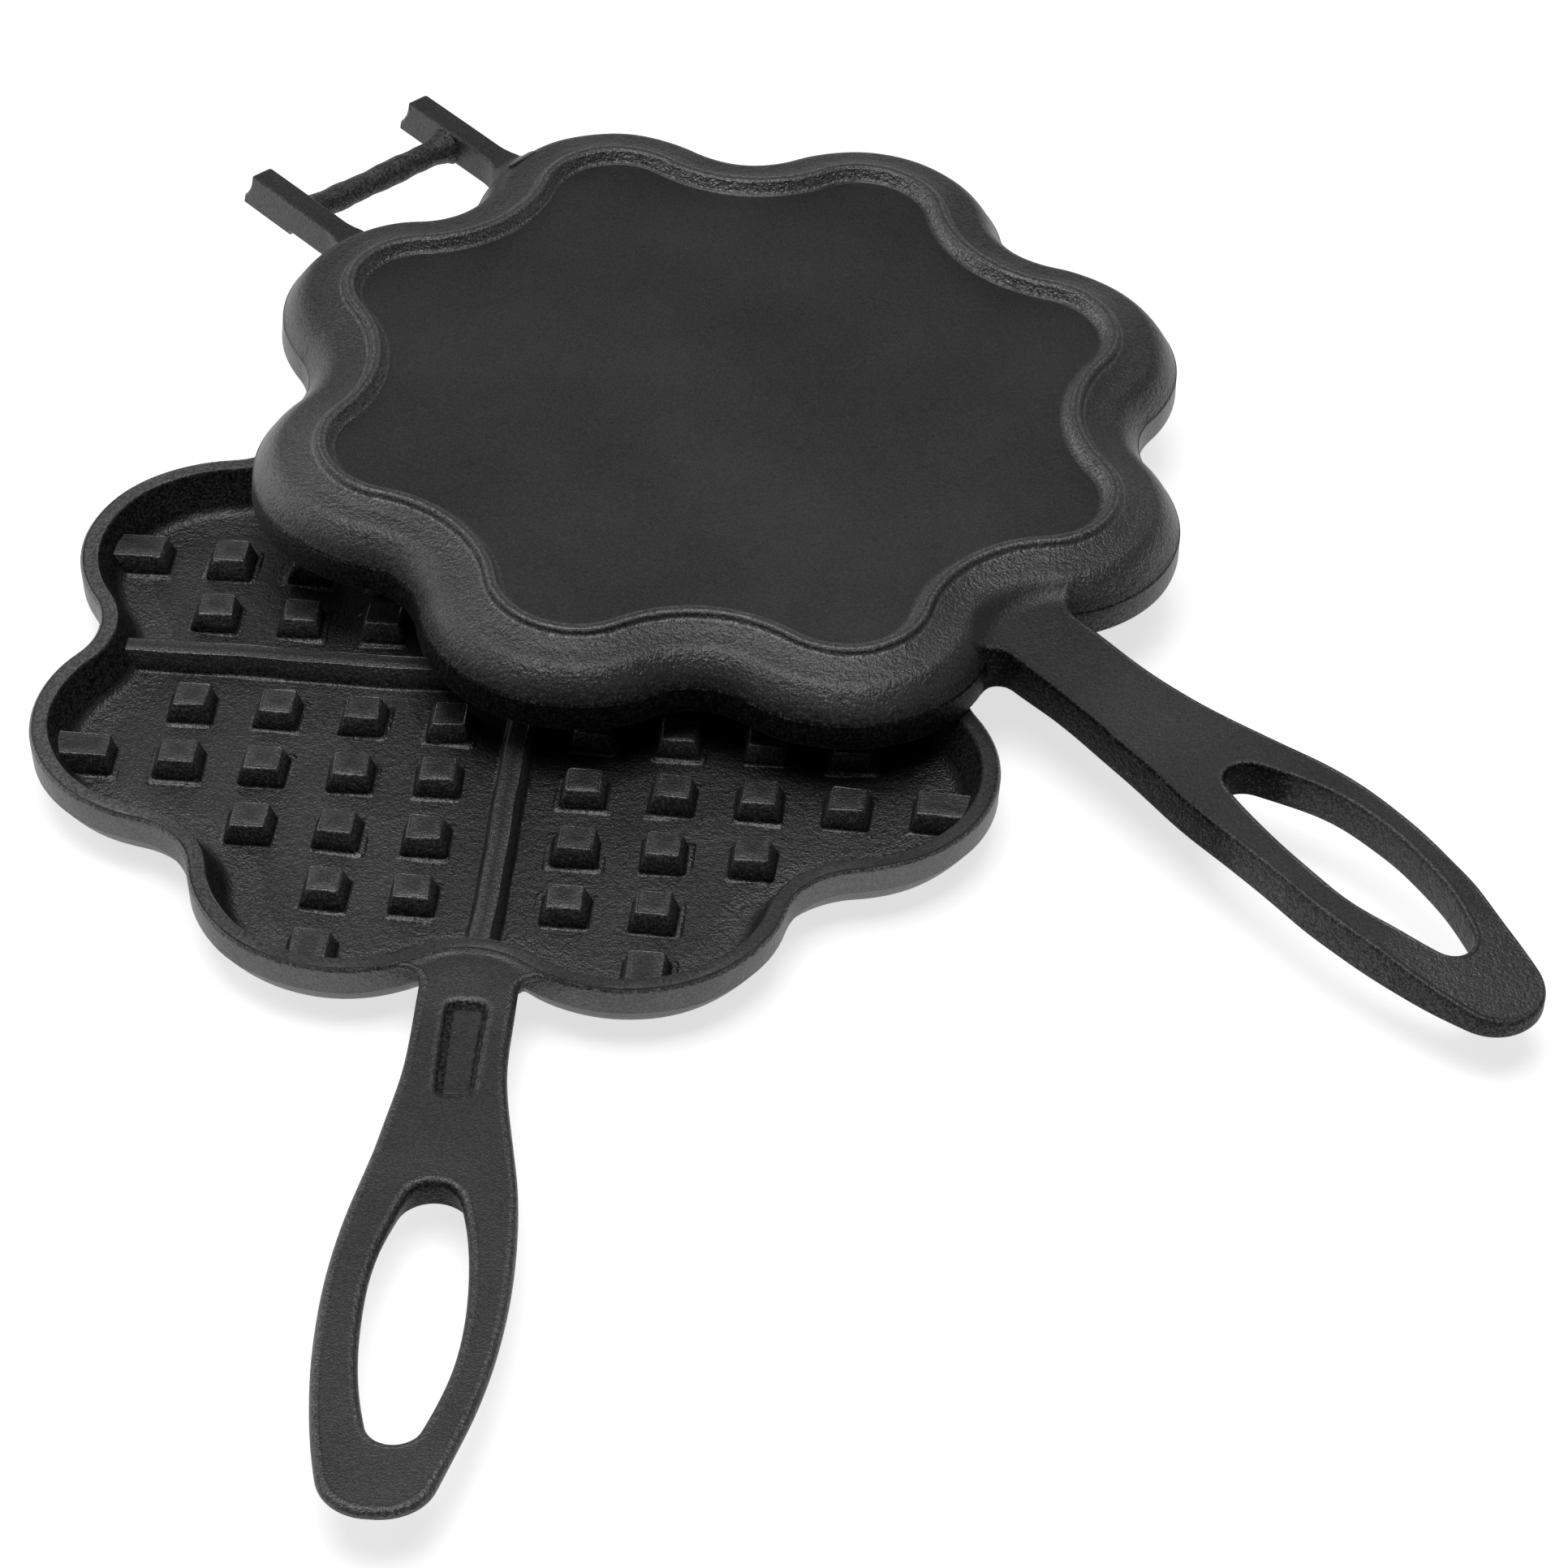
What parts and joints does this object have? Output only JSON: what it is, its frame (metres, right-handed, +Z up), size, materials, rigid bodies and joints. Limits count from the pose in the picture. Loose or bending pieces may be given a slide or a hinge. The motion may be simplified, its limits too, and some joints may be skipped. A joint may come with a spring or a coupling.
{
  "type": "heart waffle iron",
  "caption": "Stove-top cast-iron waffle iron: two scalloped pans of heart-shaped block patterns with long handles and a lift-off hinge, lying unhooked one on the other.",
  "frame": {"origin": "middle of the footprint of both halves, on the table", "axes": "+Z up; +Y from the tip of the lower half's handle towards its hinge; +X to the right of that"},
  "size_m": [0.2936, 0.3984, 0.0373],
  "materials": {
    "iron": "bare, seasoned, sand-cast with ground rims"
  },
  "bodies": {
    "lower_half": {"lower_blocks": "iron", "lower_handle": "iron", "lower_hinge_hook": "iron", "lower_pan": "iron", "lower_ribs": "iron"},
    "upper_half": {"upper_blocks": "iron", "upper_handle": "iron", "upper_hinge_arms": "iron", "upper_hinge_bar": "iron", "upper_pan": "iron", "upper_ribs": "iron"}
  },
  "joints": [
    {"name": "lift_off", "type": "slide", "parent": "lower_half", "child": "upper_half", "axis": [0, 0, 1], "range_m": [0, 0.1]}
  ]
}
